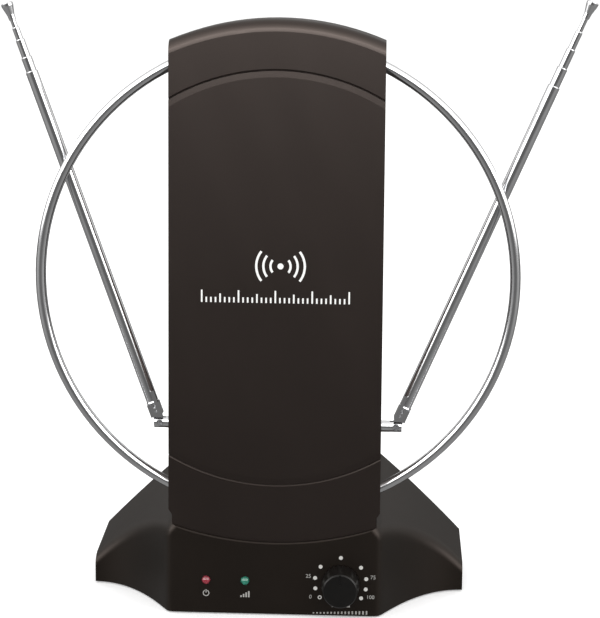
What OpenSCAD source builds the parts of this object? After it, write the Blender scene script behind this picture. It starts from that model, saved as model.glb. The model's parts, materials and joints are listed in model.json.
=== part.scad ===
// Amplified indoor television antenna: an upright panel on a winged base, a ring loop, and two telescopic rods.
// Frame: +Z up, front towards -Y, origin at the centre of the base's underside, on the table.

/* [Panel] */
// Width of the panel at its top corners
panel_top_w = 120; // [118:1:121]
// Width of the panel at its lower shoulders
panel_low_w = 122; // [121:1:123]
// Height of the crown of the panel above the table
panel_top_z = 342.4; // [342:0.1:360]
// Radius of the arched top edge
panel_top_r = 156; // [140:1:200]
// Front of the panel, measured from the middle of the base
panel_front_y = -53; // [-54:0.5:-52.5]
// Back of the panel
panel_back_y = -24.5; // [-25:0.5:-24]
// Thickness of the side walls
panel_wall = 2.4; // [2:0.1:2.8]
// Thickness of the front skin, under the grooves too
panel_skin = 3.2; // [3:0.1:3.6]
// Radius of the two arched grooves, which are concentric
groove_r = 118.5; // [112:0.5:120]
// Height of the grooves' common centre
groove_z = 196; // [194:1:198]
// Width of the faint slope beside each groove line
groove_w = 4; // [2:0.5:6]
// Depth of the grooves
groove_d = 1.2; // [0.8:0.1:1.6]

/* [Loop] */
// Radius of the loop at the middle of its tube
loop_r = 135.3; // [133:0.1:138]
// Diameter of the loop's tube
loop_d = 6; // [5:0.5:6]
// Height of the loop's centre
loop_z = 194.7; // [194:0.1:197]

/* [Telescopic rods] */
// Height of the swivel axis
swivel_z = 108.6; // [104:0.1:112]
// Distance of the left tilt pivot from the middle plane
left_pivot_x = 68.1; // [68:0.1:72]
// Distance of the right tilt pivot from the middle plane
right_pivot_x = 69.4; // [68:0.1:72]
// Outward tilt of the left rod at rest, degrees
left_tilt = 19.6; // [5:0.1:60]
// Outward tilt of the right rod at rest, degrees
right_tilt = 23.2; // [5:0.1:60]
// Diameter of the outermost tube
mast_d = 7; // [6.8:0.1:7]
// Distance from the pivot to the top of the outermost tube
mast_top = 215; // [180:1:230]
// How far each inner tube of the left rod stands out of the one around it
left_steps = [8.4, 10.4, 7.1, 4.3]; // [4:0.1:14]
// How far each inner tube of the right rod stands out of the one around it
right_steps = [11.1, 11.3, 10.5, 7.8]; // [4:0.1:14]

/* [Base] */
// Width of the base, wing tip to wing tip
base_w = 223; // [221:0.5:226]
// Depth of the base, front plate to back wall
base_d = 110; // [110:1:114]
// How far the wing fronts sweep back from the shoulder to the tip
wing_sweep = 48.6; // [46:0.2:50]
// Span of the curved part of one wing
wing_span = 49.2; // [48:0.2:50]
// Depth from the front plate to the tip of a wing
tip_back = 50.2; // [49:0.1:52]
// Wall thickness of the base shell
base_wall = 2.5; // [2.2:0.1:2.8]
// Highest level of the ridge behind the panel
ridge_top_z = 86; // [80:1:90]

/* [Controls] */
// Height of the gain knob's axis
knob_z = 20.7; // [20:0.1:22]
// Distance of the gain knob from the middle plane
knob_x = 39; // [38:0.1:42]
// Diameter of the gain knob
knob_d = 22; // [20:0.5:24]
// How far the knob's face stands out of the front plate
knob_reach = 16; // [15:0.5:17]
// Radius of the ring of printed dots
dial_r = 15; // [14:0.1:16]
// Position of the power lamp across the plate
power_led_x = -39; // [-42:0.5:-36]
// Position of the gain lamp across the plate
gain_led_x = -16.4; // [-18:0.1:-14]
// Diameter of the lamps
led_d = 5; // [4.8:0.1:5]

/* [Hidden] */
$fn = 64;

// Front plate, back wall, floor of the shell
base_front_y = -base_d / 2;
base_back_y = base_d / 2;
base_low_z = 0.8;
half_w = base_w / 2;

// Depth levels of the panel: the two shells meet on the loop's middle plane
loop_y = panel_front_y + 13;
swivel_y = loop_y + 8;
top_arc_z = panel_top_z - panel_top_r;
groove_cut_w = 0.6;
groove_slope_d = 0.2;
groove_lip = 0.55;

// The arc on which the panel sits in the base
seat_r = 185;
seat_low_z = 43.7;
seat_arc_z = seat_low_z + seat_r;
seat_gap = 0.15;
pocket_back_y = panel_back_y + seat_gap;

// Lower side shoulder of the panel, where it steps in
shoulder_z = 62;
foot_z = 59;
foot_half = 59;

// Screws that join the two panel shells: x and z of each
panel_screw_xz = [[-46, 292], [46, 292], [-46, 205], [46, 205], [-22, 95], [22, 95]];
panel_screw_top_y = panel_front_y + 5;
screw_r = 1.5;
screw_clear = 0.05;
screw_head_r = 2.8;

// Screws that hold the panel down on the base
foot_screw_x = 35;
foot_screw_y = panel_back_y - 6.5;
foot_screw_top_z = 60;

// The loop's two ends are a little apart, at the bottom inside the panel
loop_gap_deg = 4;
loop_end_x = 8;
loop_end_z = loop_z - sqrt(loop_r * loop_r - loop_end_x * loop_end_x);

// Swivel shafts and forks
shaft_r = 3.3;
thread_r = 2.5;
run_gap = 0.05;
hub_in_x = 47;
thread_in_x = 38;
fork_gap = 3;
fork_slot_in = 3.5;
ear_r = 4.2;
ear_end = 3.3;
ear_seat = 2.5;
pin_r = 1.25;
terminal_t = 0.8;

// Telescopic tubes, outermost first: outer radii, and the wall of each
tube_r = [for (i = [0 : 4]) (mast_d - i) / 2];
tube_wall = 0.4;
slide_gap = 0.04;
tube_low = [12, 27, 39, 51, 63];
guide_l = 6;
rim_l = 1.4;
rim_bevel = 0.5;
bead_l = 1.4;
bead_out = 0.35;
cheek_low = 4.5;
cheek_half = 3.4;
cheek_y = 3.85;
lug_top = 19.5;
eyelet_z = [7, 10];
eyelet_r = [0.9, 1.15];
plug_top = 17;
cap_l = 10;

// Boards
main_board_z = 11;
board_t = 1.6;
balun_y = loop_y + 3;
coax_r = 1.3;
coax_y = balun_y + board_t + coax_r + 0.1;

// Base fittings
plate_t = 2.8;
pad_t = 1.6;
pad_recess = 0.8;
base_screw_xy = [[-90, 36], [90, 36], [-56, -38], [56, -38]];
base_boss_top = [36.5, 36.5, 51, 51];
board_post_xy = [[-52, -20], [52, -20], [-52, 44], [52, 44]];
rf_x = 28;
rf_z = 22;
rf_r = 4.75;
rf_neck_r = 4.55;
rf_thread_l = 9;
rf_tip_y = base_back_y + 11.5;
jack_x = -28;
jack_z = 20;
led_z = 20.7;
led_flange_r = led_d / 2 + 0.4;
bushing_r = 3.5;
plate_in_y = base_front_y + base_wall + 0.1;
pot_shaft_r = 3;
ink_t = 0.15;

// The nine dots of the dial, as degrees clockwise from the top; the first marks the off position
dial_deg = [-127, -104, -80, -51, 0, 51, 80, 104, 127];

// ---- Helpers ----

// Extrudes an outline drawn in x and z from y0 to y1
module xz_extrude(y0, y1) {
    translate([0, y1, 0])
        rotate([90, 0, 0])
            linear_extrude(y1 - y0)
                children();
}

// A cylinder along y
module y_cylinder(x, z, y0, y1, r) {
    translate([x, y1, z])
        rotate([90, 0, 0])
            cylinder(h = y1 - y0, r = r);
}

// A cylinder along x, given its two end planes
module x_cylinder(x0, x1, y, z, r) {
    translate([min(x0, x1), y, z])
        rotate([0, 90, 0])
            cylinder(h = abs(x1 - x0), r = r);
}

// A block between two corners, in any order
module block(a, b) {
    translate([min(a.x, b.x), min(a.y, b.y), min(a.z, b.z)])
        cube([abs(a.x - b.x), abs(a.y - b.y), abs(a.z - b.z)]);
}

// A ring about an axis along y, swept from a profile drawn as radius and depth
module y_ring(z, start, sweep) {
    translate([0, 0, z])
        rotate([90, 0, 0])
            rotate([0, 0, start])
                rotate_extrude(angle = sweep, $fn = 180)
                    children();
}

function smooth_max(a, b, k) = (a + b + sqrt((a - b) * (a - b) + k * k)) / 2;
function smooth_min(a, b, k) = (a + b - sqrt((a - b) * (a - b) + k * k)) / 2;

// ---- Panel ----

// Outline of the panel, drawn in x and z; a negative inset grows it
module panel_outline(inset = 0) {
    top_half = panel_top_w / 2 - inset;
    low_half = panel_low_w / 2 - inset;
    foot = foot_half - inset;
    intersection() {
        polygon([
            [-top_half, panel_top_z + 10], [top_half, panel_top_z + 10], [low_half, shoulder_z],
            [foot, foot_z], [foot, 20], [-foot, 20], [-foot, foot_z], [-low_half, shoulder_z]
        ]);
        translate([0, top_arc_z])
            circle(r = panel_top_r - inset, $fn = 180);
        translate([0, seat_arc_z])
            circle(r = seat_r - inset, $fn = 180);
    }
}

// Channel in which the shells clamp the loop
module loop_channel() {
    translate([0, loop_y, 0])
        y_ring(loop_z, 0, 360)
            translate([loop_r, 0])
                circle(r = loop_d / 2 + run_gap, $fn = 48);
}

// The line that bounds the middle field, over one arc: a faint slope, a narrow cut and a chamfered lip
module face_groove(start) {
    translate([0, panel_front_y, 0])
        y_ring(groove_z, start, 70)
            polygon([
                [groove_r - groove_w, 0], [groove_r - groove_cut_w, -groove_slope_d],
                [groove_r - groove_cut_w / 2, -groove_d], [groove_r, -groove_d], [groove_r, -groove_lip],
                [groove_r + groove_lip, 0], [groove_r + groove_lip, 1], [groove_r - groove_w, 1]
            ]);
}

module panel_front_shell() {
    top_round = 7;
    color("#2b2723")
    difference() {
        union() {
            difference() {
                xz_extrude(panel_front_y, loop_y)
                    panel_outline();
                xz_extrude(panel_front_y + panel_skin, loop_y + 1)
                    panel_outline(panel_wall);
            }
            for (p = panel_screw_xz)
                y_cylinder(p.x, p.y, panel_front_y + panel_skin - 0.5, loop_y, 3.5);
        }
        translate([0, panel_front_y, 0])
            y_ring(top_arc_z, 55, 70)
                difference() {
                    translate([panel_top_r - top_round, -top_round])
                        square(top_round + 5);
                    translate([panel_top_r - top_round, -top_round])
                        circle(r = top_round, $fn = 64);
                }
        face_groove(55);
        face_groove(235);
        loop_channel();
        for (p = panel_screw_xz)
            y_cylinder(p.x, p.y, panel_screw_top_y - 0.5, loop_y + 1, screw_r + screw_clear);
    }
}

// One side hub that carries a swivel shaft
module swivel_hub(side) {
    block([side * hub_in_x, panel_back_y - 1, swivel_z - 6], [side * 60, swivel_y - 5.5, swivel_z + 6]);
}

module panel_rear_shell() {
    well_d = 3;
    color("#26221f")
    difference() {
        union() {
            difference() {
                xz_extrude(loop_y, panel_back_y)
                    panel_outline();
                xz_extrude(loop_y - 1, panel_back_y - panel_wall)
                    panel_outline(panel_wall);
            }
            for (p = panel_screw_xz)
                y_cylinder(p.x, p.y, loop_y, panel_back_y, 4.6);
            for (side = [-1, 1]) {
                swivel_hub(side);
                block([side * (foot_screw_x - 3), foot_screw_y - 3, 48],
                      [side * (foot_screw_x + 3), panel_back_y - 1, foot_screw_top_z + 2]);
                y_cylinder(side * 10, 106, balun_y + board_t, panel_back_y - 1, 3);
            }
        }
        for (p = panel_screw_xz) {
            y_cylinder(p.x, p.y, loop_y - 1, panel_back_y + 1, screw_r + 0.2);
            y_cylinder(p.x, p.y, panel_back_y - well_d, panel_back_y + 1, screw_head_r + 0.2);
        }
        for (side = [-1, 1]) {
            x_cylinder(side * (hub_in_x - 1), side * 64, swivel_y, swivel_z, shaft_r + run_gap);
            translate([side * foot_screw_x, foot_screw_y, 40])
                cylinder(h = foot_screw_top_z + 0.5 - 40, r = screw_r + screw_clear);
        }
        translate([0, coax_y, 40])
            cylinder(h = 10, r = coax_r + 0.5);
        loop_channel();
    }
}

module panel_screws() {
    head_y = panel_back_y - 1;
    color("#b9bcc0")
    for (p = panel_screw_xz)
        difference() {
            union() {
                y_cylinder(p.x, p.y, panel_screw_top_y, head_y, screw_r);
                y_cylinder(p.x, p.y, panel_back_y - 3, head_y, screw_head_r);
            }
            block([p.x - 1.6, head_y - 1, p.y - 0.4], [p.x + 1.6, head_y + 1, p.y + 0.4]);
            block([p.x - 0.4, head_y - 1, p.y - 1.6], [p.x + 0.4, head_y + 1, p.y + 1.6]);
        }
}

// Printed on the upper line: a transmitter dot with arcs of waves on both sides
module panel_wave_emblem() {
    emblem_x = 2.8;
    emblem_z = 205;
    line_w = 1.3;
    color("#e8e8e4")
    translate([emblem_x, panel_front_y, emblem_z]) {
        y_cylinder(0, 0, -ink_t, 0, 1.7);
        for (r = [5, 9, 13], a = [0, 180])
            rotate([0, a, 0])
                wave_arc(r, line_w, 38);
    }
}

// One printed arc of waves, centred on +X, about the dot
module wave_arc(r, w, half_deg) {
    rotate([90, 0, 0])
        rotate([0, 0, -half_deg])
            rotate_extrude(angle = 2 * half_deg, $fn = 96)
                translate([r, 0])
                    square([w, ink_t]);
}

// Printed on the lower line: a tuning scale of long and short ticks
module panel_band_marks() {
    marks = 33;
    pitch = 2.6;
    scale_z = 187.5;
    color("#d8d8d4")
    for (i = [0 : marks - 1]) {
        tall = i % 8 == 0 ? 7 : i % 4 == 0 ? 5 : 3;
        x = (i - (marks - 1) / 2) * pitch;
        block([x - 0.45, panel_front_y - ink_t, scale_z - 3.5], [x + 0.45, panel_front_y, scale_z - 3.5 + tall]);
    }
}

// ---- Electrical parts inside the panel ----

module balun_board() {
    color("#1f6b3a")
    block([-17, balun_y, 84], [17, balun_y + board_t, 128]);
}

module balun_transformer() {
    color("#3a3a3c")
    difference() {
        block([-7, balun_y - 7.5, 98], [7, balun_y, 112]);
        for (x = [-3, 3])
            translate([x, balun_y - 3.75, 97])
                cylinder(h = 16, r = 1.6);
    }
}

module ear_leads() {
    color("#b02a22")
    for (side = [-1, 1])
        x_cylinder(side * 12, side * (hub_in_x - terminal_t), balun_y + board_t + 0.9, swivel_z + 10, 0.8);
}

module feed_coax() {
    color("#1b1b1b")
    translate([0, coax_y, main_board_z + board_t])
        cylinder(h = 78, r = coax_r);
}

// ---- Loop ----

module loop_ring() {
    color("#d9dcdf")
    difference() {
        translate([0, loop_y, 0])
            y_ring(loop_z, -90 + loop_gap_deg / 2, 360 - loop_gap_deg)
                translate([loop_r, 0])
                    circle(r = loop_d / 2, $fn = 48);
        for (side = [-1, 1])
            y_cylinder(side * loop_end_x, loop_end_z, loop_y - 5, loop_y + 5, 1.05);
    }
}

module loop_terminals() {
    back_y = loop_y + loop_d / 2 + 0.1;
    color("#c8a24a")
    for (side = [-1, 1])
        difference() {
            block([side * 5, back_y, loop_end_z - 3], [side * 11, back_y + 0.8, 84]);
            y_cylinder(side * loop_end_x, loop_end_z, back_y - 1, back_y + 2, 1.05);
        }
}

module loop_terminal_screws() {
    color("#b9bcc0")
    for (side = [-1, 1]) {
        y_cylinder(side * loop_end_x, loop_end_z, loop_y - loop_d / 2 - 0.1, loop_y + 5.5, 1);
        y_cylinder(side * loop_end_x, loop_end_z, loop_y - loop_d / 2 - 1.3, loop_y - loop_d / 2, 2);
    }
}

// ---- Base ----

// Front of the base seen from above: a flat plate that sweeps back into two concave wings
function front_y(x) = smooth_max(
    base_front_y,
    base_front_y + tip_back - wing_sweep * pow((half_w - abs(x)) / wing_span, 2),
    3
);

// Height of the soft crease between the front wall and the sloping top; it rises a little beside the panel
function crease_z(x) =
    let (out = abs(x) - 62)
    out < 0 ? min(60, 51.5 - out) : 51.5 - 0.35 * out - 0.007 * out * out;

// Height of the ridge along the back, level behind the panel and falling towards the wing tips
function ridge_z(x) =
    let (out = abs(x) - 60)
    smooth_min(ridge_top_z, 71.5 - 0.88 * out - 0.0016 * out * out, 6);

// How much further an inset wall lies behind the front where the front is slanted
function slant(x) = sqrt(1 + pow(front_y(x + 0.5) - front_y(x - 0.5), 2));

// A point of a soft corner between p, the corner c and q
function soft(p, c, q, t) = (1 - t) * (1 - t) * p + 2 * t * (1 - t) * c + t * t * q;

// Section of the base at x, in y and z, from the front foot over the top to the back foot
function base_section(x, inset) =
    let (
        front = [front_y(x) + inset * slant(x), crease_z(x) - 1.4 * inset],
        back_y = base_back_y - inset,
        ridge = [back_y, ridge_z(x) - 1.4 * inset],
        low_z = inset > 0 ? -1 : base_low_z,
        up = min(7, (front.y - low_z) / 2),
        slope = (ridge - front) / norm(ridge - front),
        crease_in = [front.x, front.y - up],
        crease_out = front + slope * 9,
        ridge_in = ridge - slope * 4,
        ridge_out = ridge - [0, 4]
    )
    concat(
        [[front.x, low_z]],
        [for (t = [0, 0.25, 0.5, 0.75, 1]) soft(crease_in, front, crease_out, t)],
        [for (t = [0, 0.33, 0.67, 1]) soft(ridge_in, ridge, ridge_out, t)],
        [[back_y, low_z]]
    );

// Body lofted through the sections, inset from the outer faces
module base_loft(inset) {
    reach = half_w - inset;
    stations = [
        for (i = [0 : 17]) -reach + i * (reach - 56) / 17,
        for (i = [1 : 9]) -56 + i * 112 / 10,
        for (i = [0 : 17]) 56 + i * (reach - 56) / 17
    ];
    sections = [for (x = stations) [for (p = base_section(x, inset)) [x, p.x, p.y]]];
    count = len(sections);
    ring = len(sections[0]);
    points = [for (s = sections) each s];
    polyhedron(
        points = points,
        faces = concat(
            [[for (j = [ring - 1 : -1 : 0]) j]],
            [[for (j = [0 : ring - 1]) (count - 1) * ring + j]],
            [for (i = [0 : count - 2], j = [0 : ring - 1])
                [i * ring + j, i * ring + (j + 1) % ring, (i + 1) * ring + j]],
            [for (i = [0 : count - 2], j = [0 : ring - 1])
                [(i + 1) * ring + j, i * ring + (j + 1) % ring, (i + 1) * ring + (j + 1) % ring]]
        ),
        convexity = 6
    );
}

module base_shell() {
    boss_r = 4.5;
    color("#24211f")
    difference() {
        union() {
            difference() {
                base_loft(0);
                xz_extrude(base_front_y - 5, pocket_back_y)
                    panel_outline(-seat_gap);
                difference() {
                    base_loft(base_wall);
                    xz_extrude(base_front_y - 5, pocket_back_y + base_wall)
                        panel_outline(-seat_gap - base_wall);
                }
            }
            for (i = [0 : 3])
                translate([base_screw_xy[i].x, base_screw_xy[i].y, base_low_z + plate_t])
                    cylinder(h = base_boss_top[i] - base_low_z - plate_t, r = 3.6);
            for (side = [-1, 1]) {
                translate([side * foot_screw_x, foot_screw_y, 40.5])
                    cylinder(h = 5.5, r = boss_r);
            }
        }
        for (p = base_screw_xy)
            translate([p.x, p.y, 0])
                cylinder(h = 13, r = screw_r + screw_clear);
        for (side = [-1, 1])
            translate([side * foot_screw_x, foot_screw_y, 38])
                cylinder(h = 12, r = screw_r + 0.2);
        translate([0, coax_y, 38])
            cylinder(h = 12, r = coax_r + 0.5);
        y_cylinder(knob_x, knob_z, base_front_y - 1, base_front_y + 4, bushing_r + screw_clear);
        for (x = [power_led_x, gain_led_x])
            y_cylinder(x, led_z, base_front_y - 1, base_front_y + 4, led_d / 2 + screw_clear);
        y_cylinder(rf_x, rf_z, base_back_y - 4, base_back_y + 1, rf_neck_r + screw_clear);
        y_cylinder(jack_x, jack_z, base_back_y - 4, base_back_y + 1, 4.3);
    }
}

// Floor outline seen from above, inset from the walls
module floor_outline(inset) {
    reach = half_w - inset - 0.6;
    front = [for (i = [0 : 40]) let (x = -reach + i * reach / 20) [x, front_y(x) + inset * slant(x)]];
    polygon(concat(front, [[reach, base_back_y - inset], [-reach, base_back_y - inset]]));
}

module base_bottom_plate() {
    color("#1e1c1a")
    difference() {
        union() {
            translate([0, 0, base_low_z])
                linear_extrude(plate_t)
                    floor_outline(base_wall + 0.2);
            for (p = board_post_xy)
                translate([p.x, p.y, base_low_z + plate_t])
                    cylinder(h = main_board_z - base_low_z - plate_t, r = 3);
        }
        translate([0, 0, base_low_z - 1])
            linear_extrude(pad_recess + 1)
                floor_outline(base_wall + 2.5);
        for (p = base_screw_xy)
            translate([p.x, p.y, 0]) {
                cylinder(h = 6, r = screw_r + 0.2);
                cylinder(h = 2.6, r = screw_head_r + 0.2);
            }
        for (p = board_post_xy)
            translate([p.x, p.y, main_board_z - 5])
                cylinder(h = 6, r = 1.05);
    }
}

module ballast_weight() {
    color("#6e7072")
    block([-46, -36, base_low_z + plate_t], [46, 30, base_low_z + plate_t + 6]);
}

module non_slip_pad() {
    color("#3a3836")
    linear_extrude(pad_t)
        floor_outline(base_wall + 3);
}

module base_screws() {
    head_z = pad_t;
    color("#b9bcc0")
    for (p = base_screw_xy)
        translate([p.x, p.y, head_z])
            difference() {
                union() {
                    cylinder(h = 10.6, r = screw_r);
                    cylinder(h = 1, r = screw_head_r);
                }
                translate([-1.6, -0.4, -1])
                    cube([3.2, 0.8, 1.6]);
                translate([-0.4, -1.6, -1])
                    cube([0.8, 3.2, 1.6]);
            }
}

module panel_foot_screws() {
    head_z = 38.5;
    color("#b9bcc0")
    for (side = [-1, 1])
        translate([side * foot_screw_x, foot_screw_y, head_z]) {
            cylinder(h = foot_screw_top_z - head_z, r = screw_r);
            cylinder(h = 2, r = screw_head_r);
        }
}

// ---- Amplifier ----

module amplifier_board() {
    color("#1f6b3a")
    difference() {
        block([-56, -33, main_board_z], [56, 51, main_board_z + board_t]);
        for (p = board_post_xy)
            translate([p.x, p.y, main_board_z - 1])
                cylinder(h = 4, r = 1.2);
    }
    color("#1f6b3a")
    block([-48, -51, main_board_z], [48, -33, main_board_z + board_t]);
}

module board_screws() {
    color("#b9bcc0")
    for (p = board_post_xy)
        translate([p.x, p.y, main_board_z - 4]) {
            cylinder(h = 4 + board_t, r = 1);
            translate([0, 0, 4 + board_t])
                cylinder(h = 1.2, r = 2);
        }
}

module tuner_shield_can() {
    low = main_board_z + board_t;
    color("#c4c7ca")
    difference() {
        block([-16, -16, low], [14, 14, low + 9]);
        block([-15.5, -15.5, low - 1], [13.5, 13.5, low + 8.5]);
    }
}

module board_capacitors() {
    low = main_board_z + board_t;
    color("#2b3552")
    for (p = [[-38, -24], [-38, -8], [24, -20], [36, 4]])
        translate([p.x, p.y, low]) {
            cylinder(h = 9, r = 3.2);
            translate([0, 0, 9])
                cylinder(h = 0.6, r = 2.7);
        }
}

module potentiometer_body() {
    color("#8f9296")
    difference() {
        union() {
            y_cylinder(knob_x, knob_z, plate_in_y, base_front_y + 11, 8);
            y_cylinder(knob_x, knob_z, base_front_y - 4.5, plate_in_y, bushing_r);
        }
        y_cylinder(knob_x, knob_z, base_front_y - 5, base_front_y + 9, pot_shaft_r + run_gap);
    }
}

module potentiometer_nut() {
    color("#b9bcc0")
    translate([knob_x, base_front_y, knob_z])
        rotate([90, 0, 0])
            difference() {
                cylinder(h = 2, r = 5.8, $fn = 6);
                translate([0, 0, -1])
                    cylinder(h = 4, r = bushing_r + 0.02);
            }
}

module gain_shaft() {
    color("#b9bcc0")
    y_cylinder(knob_x, knob_z, base_front_y - knob_reach + 2.5, base_front_y + 8.5, pot_shaft_r);
}

module gain_knob() {
    face_y = base_front_y - knob_reach;
    foot_y = base_front_y - 1;
    grips = 24;
    color("#1c1b1a")
    difference() {
        union() {
            translate([knob_x, 0, knob_z])
                rotate([90, 0, 0])
                    rotate_extrude($fn = 96)
                        polygon([
                            [0, -foot_y], [knob_d / 2, -foot_y], [knob_d / 2, 3 - foot_y],
                            [knob_d / 2 - 1, -face_y - 0.9], [knob_d / 2 - 1.7, -face_y], [0, -face_y]
                        ]);
        }
        for (i = [0 : grips - 1])
            rotate_about_knob(i * 360 / grips)
                y_cylinder(knob_x, knob_z + knob_d / 2 + 0.9, face_y + 2, foot_y + 1, 1.5);
        y_cylinder(knob_x, knob_z, face_y + 4, foot_y + 1, 7.5);
        y_cylinder(knob_x, knob_z, face_y + 2.3, foot_y + 1, pot_shaft_r + 0.01);
        block([knob_x - 0.5, face_y - 1, knob_z + 4], [knob_x + 0.5, face_y + 0.5, knob_z + knob_d / 2 + 1]);
    }
}

module rotate_about_knob(a) {
    translate([knob_x, 0, knob_z])
        rotate([0, a, 0])
            translate([-knob_x, 0, -knob_z])
                children();
}

// ---- Printing and lamps on the front plate ----

module dial_dots() {
    color("#eeeeea")
    for (a = dial_deg)
        rotate_about_knob(a)
            difference() {
                y_cylinder(knob_x, knob_z + dial_r, base_front_y - ink_t, base_front_y, 1.15);
                if (a == dial_deg[0])
                    y_cylinder(knob_x, knob_z + dial_r, base_front_y - 1, base_front_y + 1, 0.7);
            }
}

// Seven-segment numerals, 0 to 9, as the segments that are inked: top, middle, bottom, then the four uprights
function segments(digit) =
    digit == 0 ? [1, 0, 1, 1, 1, 1, 1] :
    digit == 1 ? [0, 0, 0, 0, 1, 0, 1] :
    digit == 2 ? [1, 1, 1, 0, 1, 1, 0] :
    digit == 5 ? [1, 1, 1, 1, 0, 0, 1] :
    digit == 7 ? [1, 0, 0, 0, 1, 0, 1] :
    [1, 1, 1, 1, 1, 1, 1];

// One numeral, its lower left corner at the origin, in x and z
module numeral(digit) {
    w = 1.9;
    h = 3.2;
    t = 0.5;
    on = segments(digit);
    bars = [
        [0, h - t, w, t], [0, (h - t) / 2, w, t], [0, 0, w, t],
        [0, (h - t) / 2, t, (h + t) / 2], [w - t, (h - t) / 2, t, (h + t) / 2],
        [0, 0, t, (h + t) / 2], [w - t, 0, t, (h + t) / 2]
    ];
    for (i = [0 : 6])
        if (on[i] == 1)
            translate([bars[i][0], bars[i][1]])
                square([bars[i][2], bars[i][3]]);
}

// A number centred on x and z
module number(digits, x, z) {
    pitch = 2.6;
    translate([x - len(digits) * pitch / 2 + 0.35, z - 1.6])
        for (i = [0 : len(digits) - 1])
            translate([i * pitch, 0])
                numeral(digits[i]);
}

module dial_numerals() {
    color("#eeeeea")
    xz_extrude(base_front_y - ink_t, base_front_y) {
        number([2, 5], knob_x - dial_r - 6, knob_z + 4.5);
        number([7, 5], knob_x + dial_r + 5, knob_z + 4.5);
        number([1, 0, 0], knob_x + dial_r + 2.8, knob_z - 13.5);
        number([0], knob_x - dial_r - 3, knob_z - 13.5);
    }
}

// A ring drawn flat, open by a gap at the top
module open_ring(r, w, gap) {
    difference() {
        circle(r = r);
        circle(r = r - w);
        if (gap > 0)
            translate([-gap / 2, 0])
                square([gap, r + 1]);
    }
}

// Power symbol under the red lamp, signal bars under the green lamp, gain wedge under the knob
module control_symbols() {
    color("#e4e4e0")
    xz_extrude(base_front_y - ink_t, base_front_y) {
        translate([power_led_x, led_z - 8]) {
            open_ring(1.9, 0.5, 1.3);
            translate([-0.25, 0.2])
                square([0.5, 2]);
        }
        for (i = [0 : 3])
            translate([gain_led_x - 2.7 + i * 1.5, led_z - 10])
                square([0.9, 1 + i * 0.9]);
        translate([knob_x, knob_z - dial_r])
            polygon([[-5.5, 0.3], [5.5, 0.3], [5.5, 2.1]]);
    }
}

// A round-nosed lamp through the plate, with its flange behind
module lamp(x) {
    nose_y = base_front_y + 0.1;
    y_cylinder(x, led_z, nose_y, base_front_y + base_wall + 3.5, led_d / 2);
    y_cylinder(x, led_z, plate_in_y, plate_in_y + 1, led_flange_r);
    translate([x, nose_y, led_z])
        sphere(r = led_d / 2, $fn = 48);
    for (pin = [-1.27, 1.27]) {
        block([x + pin - 0.25, base_front_y + base_wall + 3, led_z - 0.25],
              [x + pin + 0.25, base_front_y + base_wall + 5.5, led_z + 0.25]);
        block([x + pin - 0.25, base_front_y + base_wall + 5, main_board_z + board_t],
              [x + pin + 0.25, base_front_y + base_wall + 5.5, led_z + 0.25]);
    }
}

module power_led() {
    color("#b9403a")
    lamp(power_led_x);
}

module gain_led() {
    color("#2f9a80")
    lamp(gain_led_x);
}

// ---- Sockets at the back ----

module rf_socket() {
    low = main_board_z + board_t;
    color("#c9ccd0")
    difference() {
        union() {
            block([rf_x - 7, base_back_y - 14, low], [rf_x + 7, base_back_y - base_wall, rf_z + 7]);
            y_cylinder(rf_x, rf_z, base_back_y - base_wall - 0.5, rf_tip_y - 0.5, rf_neck_r);
            y_cylinder(rf_x, rf_z, rf_tip_y - rf_thread_l, rf_tip_y, rf_r);
        }
        y_cylinder(rf_x, rf_z, rf_tip_y - 8, rf_tip_y + 1, 0.8);
        translate([rf_x, rf_tip_y, rf_z])
            rotate([-90, 0, 0])
                translate([0, 0, -1.2])
                    rotate_extrude()
                        translate([2.8, 0])
                            square([0.8, 2]);
    }
}

module rf_socket_nut() {
    color("#b9bcc0")
    translate([rf_x, base_back_y + 2.2, rf_z])
        rotate([90, 0, 0])
            difference() {
                cylinder(h = 2.2, r = 7, $fn = 6);
                translate([0, 0, -1])
                    cylinder(h = 4, r = rf_neck_r + 0.02);
            }
}

module dc_jack() {
    low = main_board_z + board_t;
    color("#151515")
    difference() {
        union() {
            block([jack_x - 4.5, base_back_y - 16, low], [jack_x + 4.5, base_back_y - base_wall, jack_z + 5.5]);
            y_cylinder(jack_x, jack_z, base_back_y - base_wall - 0.5, base_back_y - 0.4, 4.2);
        }
        difference() {
            y_cylinder(jack_x, jack_z, base_back_y - 10, base_back_y, 2.8);
            y_cylinder(jack_x, jack_z, base_back_y - 11, base_back_y - 1.5, 1);
        }
    }
}

// ---- Telescopic rods: side is -1 on the left and 1 on the right ----

function pivot_of(side) = side < 0 ? left_pivot_x : right_pivot_x;
function tilt_of(side) = side < 0 ? left_tilt : right_tilt;
function steps_of(side) = side < 0 ? left_steps : right_steps;
function reach_of(side, n) = n == 0 ? 0 : steps_of(side)[n - 1] + reach_of(side, n - 1);

// Places a rod that is drawn upwards from its pivot
module on_rod(side) {
    translate([side * pivot_of(side), swivel_y, swivel_z])
        rotate([0, side * tilt_of(side), 0])
            children();
}

// Ring terminal that presses on the hub and carries the lead
module contact_washer(side) {
    inner = hub_in_x - terminal_t;
    color("#c8a24a")
    difference() {
        union() {
            x_cylinder(side * inner, side * hub_in_x, swivel_y, swivel_z, 4.6);
            block([side * inner, swivel_y - 4.6, swivel_z], [side * hub_in_x, swivel_y - 1, swivel_z + 12]);
        }
        x_cylinder(side * (inner - 1), side * (hub_in_x + 1), swivel_y, swivel_z, thread_r + run_gap);
    }
}

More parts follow.
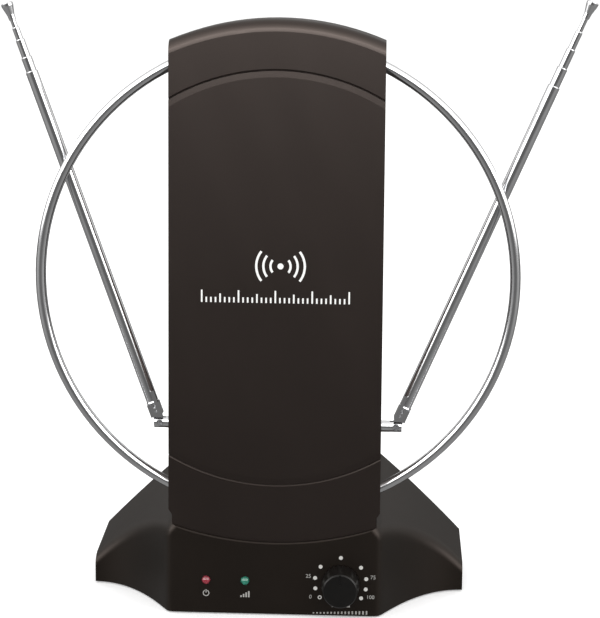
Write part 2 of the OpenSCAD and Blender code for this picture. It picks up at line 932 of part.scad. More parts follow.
// Round shaft whose end is slotted for the tongue, with flat seats for the hinge screw and its nut
module swivel_fork(side) {
    pivot = pivot_of(side);
    color("#d9dcdf")
    difference() {
        union() {
            x_cylinder(side * thread_in_x, side * (hub_in_x + 1), swivel_y, swivel_z, thread_r);
            intersection() {
                x_cylinder(side * hub_in_x, side * (pivot + ear_end), swivel_y, swivel_z, shaft_r);
                xz_extrude(swivel_y - shaft_r - 1, swivel_y + shaft_r + 1) {
                    translate([side * pivot, swivel_z])
                        circle(r = ear_r);
                    translate([side * (hub_in_x - 1 + pivot) / 2, swivel_z])
                        square([pivot - hub_in_x + 1, 2 * ear_r], center = true);
                }
            }
        }
        block([side * (pivot - fork_slot_in), swivel_y - fork_gap / 2, swivel_z - 6],
              [side * (pivot + 6), swivel_y + fork_gap / 2, swivel_z + 6]);
        y_cylinder(side * pivot, swivel_z, swivel_y - 6, swivel_y + 6, pin_r + run_gap);
        y_cylinder(side * pivot, swivel_z, swivel_y - 6, swivel_y - ear_seat, 2.05);
        y_cylinder(side * pivot, swivel_z, swivel_y + ear_seat, swivel_y + 6, 2.45);
    }
}

module swivel_nut(side) {
    outer = hub_in_x - terminal_t - 0.1;
    color("#b9bcc0")
    difference() {
        translate([side * (outer - 1.5), swivel_y, swivel_z])
            rotate([0, 90, 0])
                cylinder(h = 3, r = 4.4, $fn = 6, center = true);
        x_cylinder(side * (outer - 5), side * (outer + 2), swivel_y, swivel_z, thread_r + 0.02);
    }
}

module hinge_screw(side) {
    front = swivel_y - ear_seat;
    x = side * pivot_of(side);
    color("#b9bcc0")
    difference() {
        union() {
            y_cylinder(x, swivel_z, front - 0.5, swivel_y + ear_seat + 1.6, pin_r);
            y_cylinder(x, swivel_z, front - 1.1, front, 1.9);
        }
        block([x - 1.4, front - 2, swivel_z - 0.25], [x + 1.4, front - 0.5, swivel_z + 0.25]);
        block([x - 0.25, front - 2, swivel_z - 1.4], [x + 0.25, front - 0.5, swivel_z + 1.4]);
    }
}

module hinge_nut(side) {
    color("#b9bcc0")
    translate([side * pivot_of(side), swivel_y + ear_seat + 1.4, swivel_z])
        rotate([90, 0, 0])
            difference() {
                cylinder(h = 1.4, r = 2.3, $fn = 6);
                translate([0, 0, -1])
                    cylinder(h = 4, r = pin_r + 0.02);
            }
}

// Tongue, a block with two eyelets and a strap up the tube, and the plug that the tube is pressed on
module knuckle(side) {
    tongue = fork_gap - 2 * run_gap;
    color("#d9dcdf")
    on_rod(side)
        difference() {
            union() {
                xz_extrude(-tongue / 2, tongue / 2) {
                    circle(r = 3);
                    translate([-2.6, 0])
                        square([5.2, cheek_low + 0.5]);
                }
                block([-cheek_half, -cheek_y, cheek_low], [cheek_half, cheek_y, tube_low[0]]);
                block([-side * 1.3, -cheek_y - 0.5, cheek_low],
                      [-side * cheek_half, -cheek_y + 0.1, lug_top]);
                for (i = [0, 1])
                    y_cylinder(-side * 0.6, eyelet_z[i], -cheek_y - 0.7, -cheek_y + 1, eyelet_r[i]);
                translate([0, 0, tube_low[0] - 0.5])
                    cylinder(h = plug_top - tube_low[0] + 0.5, r = tube_r[0] - tube_wall - 0.02);
            }
            y_cylinder(0, 0, -5, 5, pin_r + run_gap);
            for (i = [0, 1])
                y_cylinder(-side * 0.6, eyelet_z[i], -cheek_y - 1, -cheek_y + 2, eyelet_r[i] - 0.35);
        }
}

// One hollow tube of a rod: a rolled rim at its top, and a guide sleeve at its foot, or a bead on the first
module stage_tube(side, n) {
    top = mast_top + reach_of(side, n);
    low = tube_low[n];
    outer = tube_r[n];
    inner = outer - tube_wall;
    mouth = tube_r[n + 1] + slide_gap;
    guide = n > 0 ? tube_r[n - 1] - tube_wall - slide_gap : outer + bead_out;
    guide_top = low + (n > 0 ? guide_l : bead_l / 2);
    foot = n > 0 ? [[guide, low]] : [[outer, low], [guide, low + bead_out]];
    color("#d9dcdf")
    on_rod(side)
        rotate_extrude($fn = 64)
            polygon(concat(foot, [
                [guide, guide_top], [outer, n > 0 ? guide_top : low + bead_l], [outer, top - rim_bevel],
                [outer - 0.38, top], [mouth, top], [mouth, top - rim_l], [inner, top - rim_l], [inner, low]
            ]));
}

// The innermost rod is solid
module inner_rod(side) {
    low = tube_low[4];
    top = mast_top + reach_of(side, 4) + 4;
    color("#d9dcdf")
    on_rod(side) {
        translate([0, 0, low])
            cylinder(h = top - low, r = tube_r[4]);
        translate([0, 0, low])
            cylinder(h = guide_l, r = tube_r[3] - tube_wall - slide_gap);
    }
}

// Flared cap on the tip
module tip_cap(side) {
    low = mast_top + reach_of(side, 4);
    color("#d9dcdf")
    on_rod(side)
        translate([0, 0, low])
            rotate_extrude($fn = 64)
                polygon([
                    [0, 4], [tube_r[4] + 0.02, 4], [tube_r[4] + 0.02, 0], [1.9, 0], [2.1, 3],
                    [3.3, cap_l - 2], [3.4, cap_l - 0.6], [2.9, cap_l], [0, cap_l]
                ]);
}

panel_front_shell();
panel_rear_shell();
panel_screws();
panel_wave_emblem();
panel_band_marks();
balun_board();
balun_transformer();
ear_leads();
feed_coax();
loop_ring();
loop_terminals();
loop_terminal_screws();
base_shell();
base_bottom_plate();
ballast_weight();
non_slip_pad();
base_screws();
panel_foot_screws();
amplifier_board();
board_screws();
tuner_shield_can();
board_capacitors();
potentiometer_body();
potentiometer_nut();
gain_shaft();
gain_knob();
dial_dots();
dial_numerals();
control_symbols();
power_led();
gain_led();
rf_socket();
rf_socket_nut();
dc_jack();
contact_washer(-1);  // left_contact_washer
swivel_fork(-1);  // left_swivel_fork
swivel_nut(-1);  // left_swivel_nut
hinge_screw(-1);  // left_hinge_screw
hinge_nut(-1);  // left_hinge_nut
knuckle(-1);  // left_knuckle
stage_tube(-1, 0);  // left_tube_1
stage_tube(-1, 1);  // left_tube_2
stage_tube(-1, 2);  // left_tube_3
stage_tube(-1, 3);  // left_tube_4
inner_rod(-1);  // left_rod_5
tip_cap(-1);  // left_tip_cap
contact_washer(1);  // right_contact_washer
swivel_fork(1);  // right_swivel_fork
swivel_nut(1);  // right_swivel_nut
hinge_screw(1);  // right_hinge_screw
hinge_nut(1);  // right_hinge_nut
knuckle(1);  // right_knuckle
stage_tube(1, 0);  // right_tube_1
stage_tube(1, 1);  // right_tube_2
stage_tube(1, 2);  // right_tube_3
stage_tube(1, 3);  // right_tube_4
inner_rod(1);  // right_rod_5
tip_cap(1);  // right_tip_cap
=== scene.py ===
"""Looks of the amplified television antenna.

Materials, fine meshes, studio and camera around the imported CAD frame.
"""

import json
import math

import bmesh
import bpy
from mathutils import Matrix, Vector


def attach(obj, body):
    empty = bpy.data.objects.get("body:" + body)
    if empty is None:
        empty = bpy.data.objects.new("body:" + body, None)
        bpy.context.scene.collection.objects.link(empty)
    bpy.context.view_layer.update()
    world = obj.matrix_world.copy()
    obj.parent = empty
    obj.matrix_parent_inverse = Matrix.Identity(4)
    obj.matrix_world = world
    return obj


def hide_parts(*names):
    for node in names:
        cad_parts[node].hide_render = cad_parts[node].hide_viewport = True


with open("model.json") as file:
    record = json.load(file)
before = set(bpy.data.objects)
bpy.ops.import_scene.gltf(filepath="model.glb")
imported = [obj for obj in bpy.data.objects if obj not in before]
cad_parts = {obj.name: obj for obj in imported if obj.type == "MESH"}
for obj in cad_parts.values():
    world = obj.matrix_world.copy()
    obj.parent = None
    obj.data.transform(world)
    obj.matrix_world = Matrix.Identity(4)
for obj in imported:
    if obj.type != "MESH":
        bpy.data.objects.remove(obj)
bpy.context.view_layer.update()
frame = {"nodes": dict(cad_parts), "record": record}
NODES = frame["nodes"]
MM = 0.001


# ---- Node helpers ----


class Finish:
    """A material with one Principled shader, and short calls for the textures that drive it."""

    def __init__(self, name, **sockets):
        self.material = bpy.data.materials.new(name)
        self.material.use_nodes = True
        self.tree = self.material.node_tree
        self.shader = self.tree.nodes["Principled BSDF"]
        self.coordinates = self.tree.nodes.new("ShaderNodeTexCoord").outputs["Object"]
        self.height = None
        for socket, value in sockets.items():
            self.shader.inputs[socket.replace("_", " ")].default_value = value

    def put(self, socket, value):
        """Links another node's socket into this one, or sets a plain value on it."""
        if isinstance(value, bpy.types.NodeSocket):
            self.tree.links.new(value, socket)
        else:
            socket.default_value = value

    def node(self, kind, **links):
        made = self.tree.nodes.new(kind)
        for name, value in links.items():
            self.put(made.inputs[name.replace("_", " ")], value)
        return made

    def stretched(self, scale, turn=(0, 0, 0)):
        """Object coordinates turned, then scaled by a different amount on each axis."""
        turned = self.node("ShaderNodeMapping", Vector=self.coordinates, Rotation=turn)
        return self.node("ShaderNodeMapping", Vector=turned.outputs[0], Scale=scale).outputs[0]

    def noise(self, scale, detail=4, roughness=0.55, where=None):
        return self.node(
            "ShaderNodeTexNoise", Vector=where or self.coordinates, Scale=scale, Detail=detail, Roughness=roughness
        ).outputs["Fac"]

    def cells(self, scale):
        """Distance to the nearest of many scattered points."""
        return self.node("ShaderNodeTexVoronoi", Vector=self.coordinates, Scale=scale).outputs["Distance"]

    def spread(self, value, low, high, to_low=0.0, to_high=1.0):
        """The value's range from low to high becomes to_low to to_high, and is held there beyond it."""
        made = self.node("ShaderNodeMapRange", Value=value)
        for name, number in zip(("From Min", "From Max", "To Min", "To Max"), (low, high, to_low, to_high)):
            made.inputs[name].default_value = number
        return made.outputs[0]

    def maths(self, operation, a, b):
        made = self.tree.nodes.new("ShaderNodeMath")
        made.operation = operation
        for socket, value in zip(made.inputs, (a, b)):
            self.put(socket, value)
        return made.outputs[0]

    def blend(self, share, a, b):
        """A mix of two colours, each a tuple or a socket."""
        made = self.tree.nodes.new("ShaderNodeMix")
        made.data_type = "RGBA"
        self.put(made.inputs[0], share)
        for index, colour in ((6, a), (7, b)):
            self.put(made.inputs[index], (*colour, 1) if isinstance(colour, tuple) else colour)
        return made.outputs[2]

    def drive(self, socket, value):
        self.tree.links.new(value, self.shader.inputs[socket])

    def bump(self, height, strength, depth):
        """Adds a relief of this depth in metres over any earlier one."""
        made = self.node("ShaderNodeBump", Height=height, Strength=strength, Distance=depth)
        if self.height is not None:
            self.tree.links.new(self.height, made.inputs["Normal"])
        self.height = made.outputs[0]
        self.tree.links.new(self.height, self.shader.inputs["Normal"])


DUST_SHARE = 0.12
DUST_COLOUR = (0.2, 0.19, 0.17)


def moulded_plastic(name, colour, shine, gloss):
    """Warm black ABS: fine spark-eroded grain, cloudy tone, very faint wiping marks and pale dust."""
    f = Finish(name, Specular_IOR_Level=gloss, Specular_Tint=(1.0, 0.84, 0.77, 1))
    cloud = f.noise(14, 5)
    grain = f.noise(2600, 2, 0.6)
    dust = f.spread(f.cells(900), 0.0, 0.06, 1, 0)
    patchy = f.spread(f.noise(60, 3), 0.52, 0.75)
    paler = tuple(min(1, 1.35 * c) for c in colour)
    base = f.blend(f.spread(cloud, 0.3, 0.7), tuple(0.88 * c for c in colour), paler)
    dusty = f.maths("MULTIPLY", dust, f.maths("MULTIPLY", patchy, DUST_SHARE))
    f.drive("Base Color", f.blend(dusty, base, DUST_COLOUR))
    wiped = f.noise(30, 4, 0.6, f.stretched((1, 1, 0.18), (0, 0.35, 0)))
    wiping = f.spread(wiped, 0.3, 0.7, shine - 0.012, shine + 0.015)
    f.drive("Roughness", f.maths("ADD", wiping, f.spread(grain, 0.3, 0.7, 0, 0.04)))
    f.bump(grain, 0.22, 0.00004)
    f.bump(f.noise(9, 2), 0.25, 0.0003)
    return f.material


def chrome(name, shine):
    """Polished chrome plate: smudges, a few pits and a faint waviness."""
    f = Finish(name, Metallic=1.0)
    smudge = f.noise(55, 4, 0.6)
    f.drive("Base Color", f.blend(f.spread(smudge, 0.3, 0.75), (0.74, 0.75, 0.77), (0.62, 0.63, 0.65)))
    f.drive("Roughness", f.spread(smudge, 0.35, 0.7, shine, shine + 0.09))
    pits = f.spread(f.cells(700), 0.0, 0.05, 1, 0)
    f.bump(pits, 0.25, 0.00003)
    f.bump(f.noise(180, 3), 0.04, 0.0001)
    return f.material


def plated_steel(name, colour, shine):
    """Zinc or nickel plate: cloudy colour, turned lines and fine scratches."""
    f = Finish(name, Metallic=1.0)
    cloud = f.noise(220, 4)
    f.drive("Base Color", f.blend(f.spread(cloud, 0.3, 0.7), colour, tuple(0.7 * c for c in colour)))
    lines = f.noise(1500, 2, 0.5, f.stretched((1, 0.05, 1)))
    f.drive("Roughness", f.spread(lines, 0.3, 0.7, shine, shine + 0.18))
    f.bump(lines, 0.12, 0.00003)
    return f.material


def plain_plastic(name, colour, shine, grain_size=1800, depth=0.00003, gloss=0.4):
    """A small moulded or dipped part: slight colour change and fine grain."""
    f = Finish(name, Specular_IOR_Level=gloss)
    cloud = f.noise(160, 4)
    f.drive("Base Color", f.blend(f.spread(cloud, 0.3, 0.7), colour, tuple(0.72 * c for c in colour)))
    grain = f.noise(grain_size, 3)
    f.drive("Roughness", f.spread(grain, 0.3, 0.7, shine - 0.06, shine + 0.08))
    f.bump(grain, 0.3, depth)
    return f.material


def lamp_resin(name, colour):
    """Tinted epoxy lamp, unlit: cloudy inside, glossy outside."""
    f = Finish(
        name, Transmission_Weight=0.25, Coat_Weight=0.6, Coat_Roughness=0.05, IOR=1.5, Subsurface_Weight=0.3
    )
    f.shader.inputs["Subsurface Radius"].default_value = (0.002, 0.002, 0.002)
    f.shader.inputs["Subsurface Scale"].default_value = 0.5
    cloud = f.noise(450, 3)
    f.drive("Base Color", f.blend(f.spread(cloud, 0.3, 0.7), colour, tuple(0.75 * c for c in colour)))
    f.drive("Roughness", f.spread(cloud, 0.3, 0.7, 0.12, 0.22))
    f.bump(f.noise(900, 2), 0.08, 0.00005)
    return f.material


def printed_ink(name, colour):
    """Pad-printed ink: thin in places, with a dry matt surface."""
    f = Finish(name, Specular_IOR_Level=0.3)
    thin = f.noise(1400, 3)
    f.drive("Base Color", f.blend(f.spread(thin, 0.55, 0.8), colour, tuple(0.75 * c for c in colour)))
    f.drive("Roughness", f.spread(thin, 0.3, 0.7, 0.5, 0.65))
    f.bump(thin, 0.2, 0.00003)
    return f.material


def circuit_laminate(name):
    """Green solder mask with the paler lines of copper tracks under it."""
    f = Finish(name, Specular_IOR_Level=0.5)
    tracks = f.node("ShaderNodeTexBrick", Vector=f.coordinates, Scale=90, Mortar_Size=0.06).outputs["Fac"]
    weave = f.noise(900, 2)
    f.drive("Base Color", f.blend(tracks, (0.02, 0.12, 0.05), (0.05, 0.24, 0.11)))
    f.drive("Roughness", f.spread(weave, 0.3, 0.7, 0.3, 0.45))
    f.bump(tracks, 0.4, 0.00004)
    return f.material


def foam_rubber(name, colour):
    """Closed-cell foam: small open cells over a matt black skin, with painted shade darkening the pits of the
    cells.
    """
    f = Finish(name, Specular_IOR_Level=0.2)
    cells = f.cells(1300)
    # Painted shade: the base colour is darkened in the cell pits, where shade would fall.
    f.drive("Base Color", f.blend(f.spread(cells, 0.05, 0.35), tuple(0.5 * c for c in colour), colour))
    f.drive("Roughness", f.spread(cells, 0.0, 0.5, 0.95, 0.8))
    f.bump(cells, 0.7, 0.0002)
    return f.material


FINISHES = {
    "panel_black": moulded_plastic("panel_black", (0.0036, 0.0023, 0.0019), 0.33, 0.5),
    "base_black": moulded_plastic("base_black", (0.0046, 0.0034, 0.0023), 0.40, 0.29),
    "plate_black": moulded_plastic("plate_black", (0.014, 0.013, 0.012), 0.55, 0.5),
    "knob_black": plain_plastic("knob_black", (0.0036, 0.0031, 0.0026), 0.36, 1600, 0.00002, 0.3),
    "white_ink": printed_ink("white_ink", (0.86, 0.86, 0.84)),
    "loop_chrome": chrome("loop_chrome", 0.10),
    "ear_chrome": chrome("ear_chrome", 0.08),
    "zinc_screw": plated_steel("zinc_screw", (0.55, 0.56, 0.58), 0.3),
    "circuit_board": circuit_laminate("circuit_board"),
    "ferrite": plain_plastic("ferrite", (0.04, 0.04, 0.045), 0.6, 2500, 0.00006),
    "lead_red": plain_plastic("lead_red", (0.40, 0.03, 0.02), 0.4),
    "coax_black": plain_plastic("coax_black", (0.02, 0.02, 0.02), 0.45),
    "contact_brass": plated_steel("contact_brass", (0.72, 0.50, 0.20), 0.28),
    "ballast_iron": plated_steel("ballast_iron", (0.22, 0.22, 0.23), 0.6),
    "pad_foam": foam_rubber("pad_foam", (0.035, 0.033, 0.032)),
    "tinned_can": plated_steel("tinned_can", (0.62, 0.63, 0.64), 0.3),
    "capacitor_blue": plain_plastic("capacitor_blue", (0.02, 0.03, 0.12), 0.3),
    "pot_metal": plated_steel("pot_metal", (0.5, 0.5, 0.5), 0.35),
    "led_red": lamp_resin("led_red", (0.38, 0.035, 0.06)),
    "led_green": lamp_resin("led_green", (0.03, 0.28, 0.19)),
    "socket_nickel": plated_steel("socket_nickel", (0.62, 0.60, 0.55), 0.25),
    "jack_black": plain_plastic("jack_black", (0.012, 0.012, 0.012), 0.4),
}

slot_of = {part["node"]: part["material_slot"] for part in frame["record"]["subparts"]}
for node_name, node in NODES.items():
    node.data.materials.clear()
    node.data.materials.append(FINISHES[slot_of[node_name]])


# ---- Fine base shell ----

# Sizes of the base in metres, the same as in the CAD frame
BASE = {
    "half_w": 0.1115, "front": -0.055, "back": 0.055,
    "tip_back": 0.0502, "wing_sweep": 0.0486, "wing_span": 0.0492,
    "low": 0.0008, "wall": 0.0025,
    "seat_r": 0.185, "seat_low": 0.0437, "gap": 0.00015, "pocket_back": -0.02435,
}
# Holes through the base's walls: x, z, radius, and y of the wall
BASE_HOLES = (
    (0.0390, 0.0207, 0.00355, -0.055),
    (-0.039, 0.0207, 0.00255, -0.055),
    (-0.0164, 0.0207, 0.00255, -0.055),
    (0.028, 0.022, 0.0046, 0.055),
    (-0.028, 0.02, 0.0043, 0.055),
)
HOLE_REACH = 0.004
# Cutters start this far in front of the base
CUTTER_FRONT = -0.07
SEAT_CHAMFER = 0.0018
CHAMFER_FRONT, CHAMFER_BACK = -0.0562, -0.0544


def smooth_max(a, b, k):
    return (a + b + math.hypot(a - b, k)) / 2


def smooth_min(a, b, k):
    return (a + b - math.hypot(a - b, k)) / 2


def base_front(x):
    """Front of the base at x: a flat plate that sweeps back into two concave wings."""
    sweep = ((BASE["half_w"] - abs(x)) / BASE["wing_span"]) ** 2
    return smooth_max(BASE["front"], BASE["front"] + BASE["tip_back"] - BASE["wing_sweep"] * sweep, 0.003)


def crease_height(x):
    out = abs(x) / MM - 62
    return MM * (min(60, 51.5 - out) if out < 0 else 51.5 - 0.35 * out - 0.007 * out * out)


def ridge_height(x):
    out = abs(x) / MM - 60
    return MM * smooth_min(86, 71.5 - 0.88 * out - 0.0016 * out * out, 6)


def soft_corner(before, corner, after, steps):
    """Points of a quadratic curve that rounds a corner."""
    shares = [i / steps for i in range(steps + 1)]
    return [before.lerp(corner, share).lerp(corner.lerp(after, share), share) for share in shares]


def base_section(x, inset):
    """Section of the base at x, from the front foot over the top to the back foot."""
    slant = math.hypot(1, (base_front(x + MM / 2) - base_front(x - MM / 2)) / MM)
    drop = 1.4 * inset
    low = -0.001 if inset else BASE["low"]
    crease = Vector((x, base_front(x) + inset * slant, crease_height(x) - drop))
    ridge = Vector((x, BASE["back"] - inset, ridge_height(x) - drop))
    slope = (ridge - crease).normalized()
    wall_up = min(0.007, (crease.z - low) / 2)
    return [
        Vector((x, crease.y, low)),
        *soft_corner(crease - Vector((0, 0, wall_up)), crease, crease + 0.009 * slope, 10),
        *soft_corner(ridge - 0.004 * slope, ridge, ridge - Vector((0, 0, 0.004)), 6),
        Vector((x, ridge.y, low)),
    ]


def base_body(inset):
    """Closed body lofted through many sections."""
    reach = BASE["half_w"] - inset
    wing = [56 * MM + i * (reach - 56 * MM) / 56 for i in range(57)]
    stations = [-x for x in reversed(wing)] + [i * 7 * MM for i in range(-7, 8)] + wing
    mesh = bmesh.new()
    rings = [[mesh.verts.new(point) for point in base_section(x, inset)] for x in stations]
    for here, there in zip(rings, rings[1:]):
        for i, corner in enumerate(here):
            j = (i + 1) % len(here)
            mesh.faces.new((corner, here[j], there[j], there[i]))
    mesh.faces.new(rings[0][::-1])
    mesh.faces.new(rings[-1])
    return solid_object("body", mesh)


def solid_object(name, mesh):
    """Object of a closed bmesh whose faces all look outwards."""
    bmesh.ops.recalc_face_normals(mesh, faces=mesh.faces)
    data = bpy.data.meshes.new(name)
    mesh.to_mesh(data)
    mesh.free()
    made = bpy.data.objects.new(name, data)
    bpy.context.scene.collection.objects.link(made)
    return made


def prism(outline, low, high, place, far_outline=None):
    """Closed prism over an outline, or tapering to another one; place turns (a, b, depth) into a point."""
    mesh = bmesh.new()
    near = [mesh.verts.new(place(a, b, low)) for a, b in outline]
    far = [mesh.verts.new(place(a, b, high)) for a, b in far_outline or outline]
    for i in range(len(outline)):
        j = (i + 1) % len(outline)
        mesh.faces.new((near[i], near[j], far[j], far[i]))
    mesh.faces.new(near[::-1])
    mesh.faces.new(far)
    return solid_object("cutter", mesh)


def along_y(a, b, depth):
    return Vector((a, depth, b))


def circle_points(x, z, radius, count=48):
    turns = [math.tau * i / count for i in range(count)]
    return [(x + radius * math.cos(turn), z + radius * math.sin(turn)) for turn in turns]


def pocket_outline(grow):
    """Foot of the panel in x and z, grown by the gap round it."""
    foot, shoulder = 0.059 + grow, 0.061 + grow
    arc_r = BASE["seat_r"] + grow
    centre_z = BASE["seat_low"] + BASE["seat_r"]
    arc = [
        (x, centre_z - math.sqrt(arc_r ** 2 - x ** 2))
        for x in (foot * (i / 24 - 1) for i in range(49))
    ]
    right = [(foot, 0.059), (shoulder, 0.062), (shoulder, 0.12)]
    left = [(-x, z) for x, z in reversed(right)]
    return arc + right + left


def seat_segment(grow):
    """The disc segment over the arched seat, no wider than the pocket."""
    foot = 0.059 + BASE["gap"]
    arc_r = BASE["seat_r"] + BASE["gap"] + grow
    centre_z = BASE["seat_low"] + BASE["seat_r"]
    return [(x, centre_z - math.sqrt(arc_r ** 2 - x ** 2)) for x in (foot * (i / 24 - 1) for i in range(49))]


def carve(body, cutter):
    """Cuts one body out of another and throws the cutter away."""
    cut = body.modifiers.new("cut", "BOOLEAN")
    cut.operation = "DIFFERENCE"
    cut.solver = "EXACT"
    cut.object = cutter
    settle(body)
    bpy.data.objects.remove(cutter)


def settle(piece):
    """Applies a piece's modifiers."""
    graph = bpy.context.evaluated_depsgraph_get()
    done = bpy.data.meshes.new_from_object(piece.evaluated_get(graph))
    piece.modifiers.clear()
    piece.data = done


def soften(piece, width):
    """Small round on the sharp edges, and even shading over the flat and slow-curving faces."""
    for polygon in piece.data.polygons:
        polygon.use_smooth = True
    bevel = piece.modifiers.new("round", "BEVEL")
    bevel.width = width
    bevel.segments = 2
    bevel.limit_method = "ANGLE"
    bevel.angle_limit = math.radians(35)
    bevel.use_clamp_overlap = True
    bevel.harden_normals = False
    settle(piece)
    even = piece.modifiers.new("even", "WEIGHTED_NORMAL")
    even.keep_sharp = True
    even.weight = 60
    settle(piece)


def fine_base():
    """The hollow base: pocket for the panel, chamfer along the arched seat, and its holes."""
    gap, wall, pocket_back = BASE["gap"], BASE["wall"], BASE["pocket_back"]
    shell = base_body(0)
    carve(shell, prism(pocket_outline(gap), CUTTER_FRONT, pocket_back, along_y))
    chamfer = prism(seat_segment(SEAT_CHAMFER), CHAMFER_FRONT, CHAMFER_BACK, along_y, seat_segment(0))
    carve(shell, chamfer)
    room = base_body(wall)
    carve(room, prism(pocket_outline(gap + wall), CUTTER_FRONT, pocket_back + wall, along_y))
    carve(shell, room)
    for x, z, radius, y in BASE_HOLES:
        carve(shell, prism(circle_points(x, z, radius), y - HOLE_REACH, y + HOLE_REACH, along_y))
    shell.name = shell.data.name = "base_shell_fine"
    soften(shell, 0.0006)
    shell.data.materials.append(FINISHES["base_black"])
    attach(shell, "chassis")
    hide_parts("base_shell")
    return shell


fine_base()


# ---- Print on the base ----

# Numerals beside the dial: text, x and z of the middle, in millimetres
DIAL_TEXT = (("0", 21.6, 11.8), ("25", 20.3, 24.3), ("75", 57.7, 24.3), ("100", 56.3, 12.3))
BAR_HALF_W, BAR_LOW = 0.00045, 0.0018
GREY_INK = printed_ink("grey_ink", (0.36, 0.35, 0.33))


def merged(name, pieces):
    """One object out of several, whose meshes are joined."""
    mesh = bmesh.new()
    graph = bpy.context.evaluated_depsgraph_get()
    for piece in pieces:
        part = bpy.data.meshes.new_from_object(piece.evaluated_get(graph))
        part.transform(piece.matrix_world)
        mesh.from_mesh(part)
        bpy.data.meshes.remove(part)
        bpy.data.objects.remove(piece)
    return solid_object(name, mesh)


def dial_text():
    made = []
    for text, x, z in DIAL_TEXT:
        curve = bpy.data.curves.new("numeral", "FONT")
        curve.body = text
        curve.size = 0.0032
        curve.extrude = 0.0001
        curve.align_x = curve.align_y = "CENTER"
        numeral = bpy.data.objects.new("numeral", curve)
        numeral.location = (x * MM, -0.05504, z * MM)
        numeral.rotation_euler = (math.pi / 2, 0, 0)
        bpy.context.scene.collection.objects.link(numeral)
        made.append(numeral)
    bpy.context.view_layer.update()
    return merged("dial_numerals_fine", made)


def gain_wedge():
    """Row of bars that grow to the right, under the knob."""
    made = []
    for i in range(16):
        x, tall = (23.5 + 2.05 * i) * MM, (0.7 + 0.1 * i) * MM
        left, right, top = x - BAR_HALF_W, x + BAR_HALF_W, BAR_LOW + tall
        bar = [(left, BAR_LOW), (right, BAR_LOW), (right, top), (left, top)]
        made.append(prism(bar, -0.05515, -0.0548, along_y))
    bpy.context.view_layer.update()
    return merged("gain_wedge", made)


for printed, replaced in ((dial_text(), ("dial_numerals",)), (gain_wedge(), ())):
    printed.data.materials.append(GREY_INK)
    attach(printed, "chassis")
    if replaced:
        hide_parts(*replaced)
NODES["control_symbols"].data.materials[0] = GREY_INK
NODES["dial_dots"].data.materials[0] = printed_ink("dial_ink", (0.62, 0.61, 0.58))


# ---- Studio ----

# Strength of the white backdrop and of the light that falls from all round
EVEN_LIGHT = 1.08
# What reflections see: heights between which the sky starts, then how bright each part is
SKY_LINE = (0.20, 0.40)
SKY_LOW_GLOW = 5.0
SKY_TOP_GLOW = 1.2
SKY_BACK_GLOW = 0.85
SIDE_SKY_DROP = 0.22
FRONT_GLOW = 0.14
SIDE_GLOW = 0.48
BACK_GLOW = 0.16
FLOOR_GLOW = 0.30


def area_light(name, place, target, size, watts):
    """A rectangular light that reflections don't see."""
    light = bpy.data.lights.new(name, "AREA")
    light.shape = "RECTANGLE"
    light.size, light.size_y = size
    light.energy = watts
    lamp = bpy.data.objects.new(name, light)
    bpy.context.scene.collection.objects.link(lamp)
    lamp.location = place
    lamp.rotation_euler = (Vector(target) - Vector(place)).to_track_quat("-Z", "Y").to_euler()
    lamp.visible_glossy = False
    return lamp


def build_world():
    """White backdrop and even light.

    Reflections see a bright sky in front and above, grey sides and floor, and a dimmer back.
    """
    world = bpy.data.worlds.new("studio")
    bpy.context.scene.world = world
    world.use_nodes = True
    tree = world.node_tree

    def node(kind, *values, operation=None):
        made = tree.nodes.new(kind)
        if operation:
            made.operation = operation
        for index, value in enumerate(values):
            if isinstance(value, bpy.types.NodeSocket):
                tree.links.new(value, made.inputs[index])
            elif value is not None:
                made.inputs[index].default_value = value
        return made.outputs[0]

    def ramp(value, low, high, to_low=0.0, to_high=1.0):
        return node("ShaderNodeMapRange", value, low, high, to_low, to_high)

    def mixed(share, a, b):
        return node("ShaderNodeMath", node("ShaderNodeMath", b, share, operation="MULTIPLY"),
                    node("ShaderNodeMath", a, ramp(share, 0, 1, 1, 0), operation="MULTIPLY"), operation="ADD")

    direction = tree.nodes.new("ShaderNodeTexCoord").outputs["Generated"]
    split = tree.nodes.new("ShaderNodeSeparateXYZ")
    tree.links.new(direction, split.inputs[0])
    height, depth = split.outputs["Z"], split.outputs["Y"]
    side = ramp(node("ShaderNodeMath", split.outputs["X"], operation="ABSOLUTE"), 0.35, 0.8)
    dropped = node("ShaderNodeMath", height, ramp(side, 0, 1, 0, SIDE_SKY_DROP), operation="ADD")
    above = ramp(dropped, *SKY_LINE)
    behind = ramp(depth, -0.15, 0.25)
    around = mixed(behind, ramp(side, 0, 1, FRONT_GLOW, SIDE_GLOW), BACK_GLOW)
    level = mixed(ramp(height, -0.5, -0.1, 1, 0), around, FLOOR_GLOW)
    front_sky = ramp(height, SKY_LINE[1], 0.95, SKY_LOW_GLOW, SKY_TOP_GLOW)
    back_sky = ramp(height, 0.8, 1.0, SKY_BACK_GLOW, SKY_TOP_GLOW)
    reflected = mixed(above, level, mixed(behind, front_sky, back_sky))
    even = tree.nodes["Background"]
    even.inputs["Strength"].default_value = EVEN_LIGHT
    even.inputs["Color"].default_value = (1, 1, 1, 1)
    studio = node("ShaderNodeBackground", (1.0, 0.985, 0.965, 1), reflected)
    path = tree.nodes.new("ShaderNodeLightPath")
    shown = tree.nodes.new("ShaderNodeMixShader")
    tree.links.new(path.outputs["Is Glossy Ray"], shown.inputs[0])
    tree.links.new(even.outputs[0], shown.inputs[1])
    tree.links.new(studio, shown.inputs[2])
    tree.links.new(shown.outputs[0], tree.nodes["World Output"].inputs["Surface"])


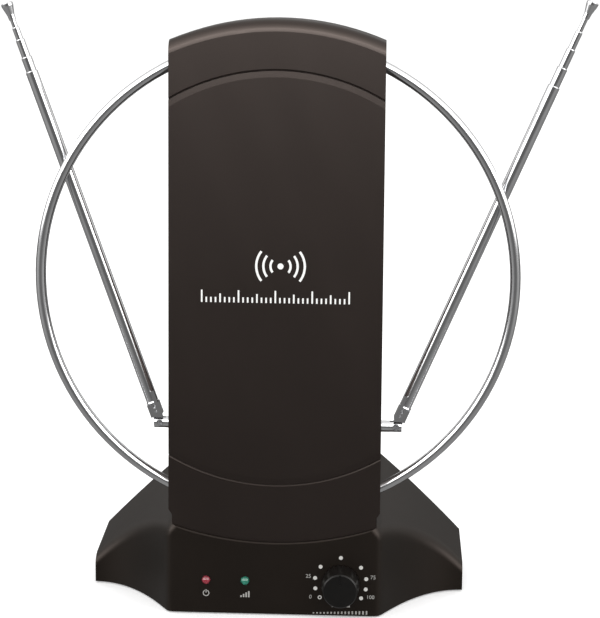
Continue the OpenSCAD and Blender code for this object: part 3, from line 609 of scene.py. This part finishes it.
def build_floor():
    half = 6.0
    mesh = bpy.data.meshes.new("floor")
    corners = [(-half, -half, 0), (half, -half, 0), (half, half, 0), (-half, half, 0)]
    mesh.from_pydata(corners, [], [(0, 1, 2, 3)])
    floor = bpy.data.objects.new("floor", mesh)
    bpy.context.scene.collection.objects.link(floor)
    paper = Finish("floor_paper", Specular_IOR_Level=0.0)
    fibre = paper.noise(30, 5)
    paper.drive("Base Color", paper.blend(fibre, (0.90, 0.90, 0.90), (0.93, 0.93, 0.93)))
    paper.drive("Roughness", paper.spread(fibre, 0.3, 0.7, 0.85, 0.95))
    paper.shader.inputs["Emission Color"].default_value = (1, 1, 1, 1)
    paper.shader.inputs["Emission Strength"].default_value = 0.32
    mesh.materials.append(paper.material)
    floor.visible_glossy = False


def build_camera():
    """A long lens a little above and to the right, level but for a slight roll."""
    elevation, turn, roll = (math.radians(angle) for angle in (10.56, 2.55, 0.53))
    distance = 1.05
    aim = Vector((0.01316, -0.035, 0.1775))
    level = math.cos(elevation)
    back = Vector((math.sin(turn) * level, -math.cos(turn) * level, math.sin(elevation)))
    right = Vector((0, 0, 1)).cross(back).normalized()
    up = back.cross(right)
    rolled_right = math.cos(roll) * right + math.sin(roll) * up
    rolled_up = math.cos(roll) * up - math.sin(roll) * right
    data = bpy.data.cameras.new("camera")
    data.lens = 106.65
    data.clip_start = 0.05
    camera = bpy.data.objects.new("camera", data)
    bpy.context.scene.collection.objects.link(camera)
    camera.matrix_world = Matrix.Translation(aim + distance * back) @ Matrix(
        (rolled_right, rolled_up, back)
    ).transposed().to_4x4()
    bpy.context.scene.camera = camera


build_world()
build_floor()
build_camera()
area_light("overhead", (0, -0.3, 1.6), (0, 0, 0), (1.6, 1.2), 3)
panel_key = area_light("panel_key", (0, -1.25, 0.72), (0, -0.05, 0.72), (1.6, 0.55), 12.2)
panel_key.visible_glossy = True
lit = bpy.data.collections.new("lit_by_panel_key")
for lit_node in ("panel_front_shell", "panel_rear_shell"):
    lit.objects.link(NODES[lit_node])
panel_key.light_linking.receiver_collection = lit
bpy.context.scene.view_settings.view_transform = "Standard"
